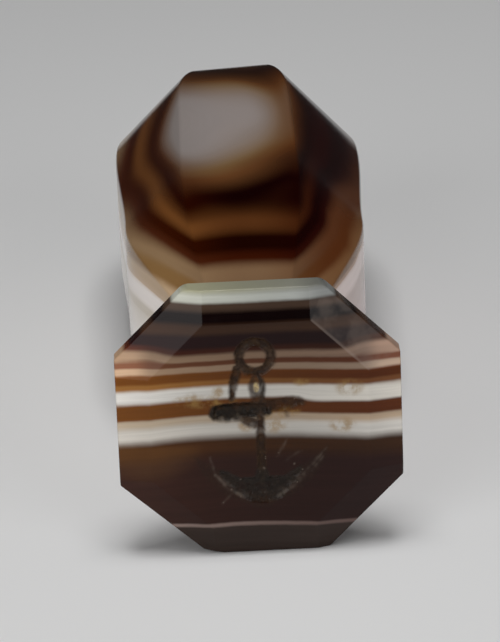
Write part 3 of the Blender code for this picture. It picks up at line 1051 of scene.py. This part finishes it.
def cloudy(bench, place, across, behind, up):
    """The warm, clearer part of the thick brown layer, at the left of the face."""
    there = spot(bench, across, up, *CLOUD_SPOT)
    drift = bench.smooth(bench.noise(place, *CLOUD_PATTERN), *CLOUD_FADE)
    near = bench.smooth(behind, *CLOUD_BACK)
    return bench.times(there, drift, near, bench.smooth(up, *CLOUD_TOP), CLOUD_SHARE)


def engraved(bench, colour, place, across, behind, up, residue, browned, frosted):
    """Residue in the anchor's cuts, frost on their chips and scratches, and one painted highlight, a yellow
    glint.
    """
    dirt = bench.smooth(bench.noise(place, *DIRT_PATTERN), *DIRT_FADE)
    filling = bench.blend(browned, bench.blend(dirt, *GREEN_DIRT), bench.blend(dirt, *BROWN_DIRT))
    colour = bench.blend(residue, colour, filling)
    colour = bench.blend(bench.times(frosted, FROST_SHARE), colour, FROST_COLOUR)
    # Painted highlight: a yellow glint on the face, broken up where the dirt pattern lies
    glint = bench.times(
        spot(bench, across, up, *GLINT_SPOT),
        bench.smooth(dirt, *GLINT_DIRT),
        bench.smooth(behind, *FACE_ONLY),
    )
    return bench.blend(glint, colour, GLINT_COLOUR)


def agate():
    material = bpy.data.materials.new("banded_agate")
    material.use_nodes = True
    bench = Bench(material.node_tree)
    shader = material.node_tree.nodes["Principled BSDF"]
    place, across, behind, up = place_in_face_widths(bench)
    level, along = layer_level(bench, place, across, behind, up)
    colour = layered_colour(bench, level, along, across, behind)
    colour = laminated(bench, colour, level, along, across, behind)
    colour = bench.blend(cloudy(bench, place, across, behind, up), colour, CLOUD_COLOUR)
    colour = bench.blend(worn_corner_and_sheen(bench, place, across, behind, up), colour, BEVEL_WEAR_AND_SHEEN_COLOUR)
    colour = bench.blend(stained(bench, place, across, behind, up), colour, STAIN_COLOUR)
    residue, browned, frosted = (
        bench.add("ShaderNodeAttribute", attribute_name=name).outputs["Fac"] for name in PANEL_LOOKS
    )
    colour = engraved(bench, colour, place, across, behind, up, residue, browned, frosted)
    bench.feed(shader.inputs["Base Color"], colour)
    polish = bench.smooth(bench.noise(place, *POLISH_PATTERN), *POLISH_FADE)
    polish = bench.smooth(along, 0.0, 1.0, polish, HANDLE_ROUGHNESS)
    rough = bench.math("MAXIMUM", polish, bench.times(residue, RESIDUE_ROUGHNESS))
    bench.feed(shader.inputs["Roughness"], rough)
    pits = bench.times(bench.noise(place, *PIT_PATTERN), residue)
    bench.feed(shader.inputs["Normal"], bench.bump(pits, PIT_STRENGTH, PIT_DEPTH))
    shader.inputs["Specular IOR Level"].default_value = AGATE_SHINE
    shader.inputs["IOR"].default_value = AGATE_IOR
    return material


# The pale floor. It ends behind the seal, where the polished sides would mirror it
FLOOR_SIZE = 3.0
FLOOR_BACK = 0.175
FLOOR_COLOUR = (0.80, 0.80, 0.80, 1.0)
FLOOR_PATTERN = (3.0, 2.0, 0.5, 0.0)
FLOOR_TONES = (0.3, 0.7, 0.985, 1.015)
FLOOR_ROUGHNESS = 0.9
FLOOR_SHINE = 0.2


def pale_floor():
    material = bpy.data.materials.new("pale_floor")
    material.use_nodes = True
    bench = Bench(material.node_tree)
    shader = material.node_tree.nodes["Principled BSDF"]
    here = bench.add("ShaderNodeTexCoord").outputs["Object"]
    tone = bench.smooth(bench.noise(here, *FLOOR_PATTERN), *FLOOR_TONES)
    bench.feed(shader.inputs["Base Color"], bench.blend(1.0, FLOOR_COLOUR, tone, "MULTIPLY"))
    shader.inputs["Roughness"].default_value = FLOOR_ROUGHNESS
    shader.inputs["Specular IOR Level"].default_value = FLOOR_SHINE
    return material


def make_floor():
    bm = bmesh.new()
    middle = Matrix.Translation((0.0, FLOOR_BACK - FLOOR_SIZE / 2, 0.0))
    bmesh.ops.create_grid(bm, x_segments=1, y_segments=1, size=FLOOR_SIZE / 2, matrix=middle)
    mesh = bpy.data.meshes.new("floor")
    bm.to_mesh(mesh)
    bm.free()
    floor = bpy.data.objects.new("floor", mesh)
    bpy.context.scene.collection.objects.link(floor)
    floor.data.materials.append(pale_floor())


# The studio's lamps: place, width, height and radiance
LAMPS = {
    "front_left": ((-0.36, -0.52, 0.225), 0.46, 0.42, 2.45),
    "front_right": ((0.38, -0.52, 0.200), 0.40, 0.38, 2.1),
    "overhead": ((0.0, -0.10, 0.46), 0.22, 0.20, 9.0),
}
LAMP_AIM = (0.0, 0.0, 0.012)
ROOM_COLOUR = (0.02, 0.02, 0.02, 1.0)


def softbox(name, place, width, height, radiance):
    """A rectangular lamp whose brightness doesn't change with its size."""
    lamp = bpy.data.lights.new(name, "AREA")
    lamp.shape = "RECTANGLE"
    lamp.size = width
    lamp.size_y = height
    lamp.energy = radiance * pi * width * height
    obj = bpy.data.objects.new(name, lamp)
    bpy.context.scene.collection.objects.link(obj)
    obj.location = place
    obj.rotation_euler = (Vector(LAMP_AIM) - Vector(place)).to_track_quat("-Z", "Y").to_euler()


def make_lights():
    world = bpy.data.worlds.new("dim_room")
    bpy.context.scene.world = world
    world.use_nodes = True
    world.node_tree.nodes["Background"].inputs["Color"].default_value = ROOM_COLOUR
    for name, lamp in LAMPS.items():
        softbox(name, *lamp)


# The photograph's view: how the camera is turned, in degrees, how far it stands from the face, in
# face widths, how many pixels a face width takes there, and the pixel of the panel's middle
VIEW_PITCH = 21.6
VIEW_YAW = 1.25
VIEW_ROLL = 2.3
VIEW_DISTANCE = 14.0
VIEW_SCALE = 286.0
VIEW_CENTRE = (260.3, 425.5)
PICTURE = (500, 642)
SENSOR = 36.0
NEAREST = 0.01
FARTHEST = 10.0


def make_camera():
    """A camera that looks down on the face and along the handle."""
    level = Matrix(((1, 0, 0), (0, 0, -1), (0, 1, 0)))
    turn = (
        level
        @ Matrix.Rotation(radians(-VIEW_ROLL), 3, "Y")
        @ Matrix.Rotation(radians(VIEW_PITCH), 3, "X")
        @ Matrix.Rotation(radians(VIEW_YAW), 3, "Z")
    )
    focal = VIEW_SCALE * VIEW_DISTANCE
    offset = Vector(
        ((VIEW_CENTRE[0] - PICTURE[0] / 2) / focal, (VIEW_CENTRE[1] - PICTURE[1] / 2) / focal, 1.0)
    )
    place = to_world(0.0, 0.0, 0.0) - (turn.transposed() @ offset) * VIEW_DISTANCE * FACE_WIDTH
    right, down, ahead = (Vector(row) for row in turn)
    camera = bpy.data.objects.new("camera", bpy.data.cameras.new("camera"))
    bpy.context.scene.collection.objects.link(camera)
    upright = Matrix((right, -down, -ahead)).transposed().to_4x4()
    camera.matrix_world = Matrix.Translation(place) @ upright
    camera.data.sensor_width = SENSOR
    camera.data.lens = focal / max(PICTURE) * SENSOR
    camera.data.clip_start = NEAREST
    camera.data.clip_end = FARTHEST
    bpy.context.scene.camera = camera


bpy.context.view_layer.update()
make_camera()
make_lights()
make_floor()
seal = seal_object()
seal.data.materials.append(agate())
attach(seal, "root")
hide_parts("agate_seal")
bpy.context.scene.view_settings.view_transform = "Standard"
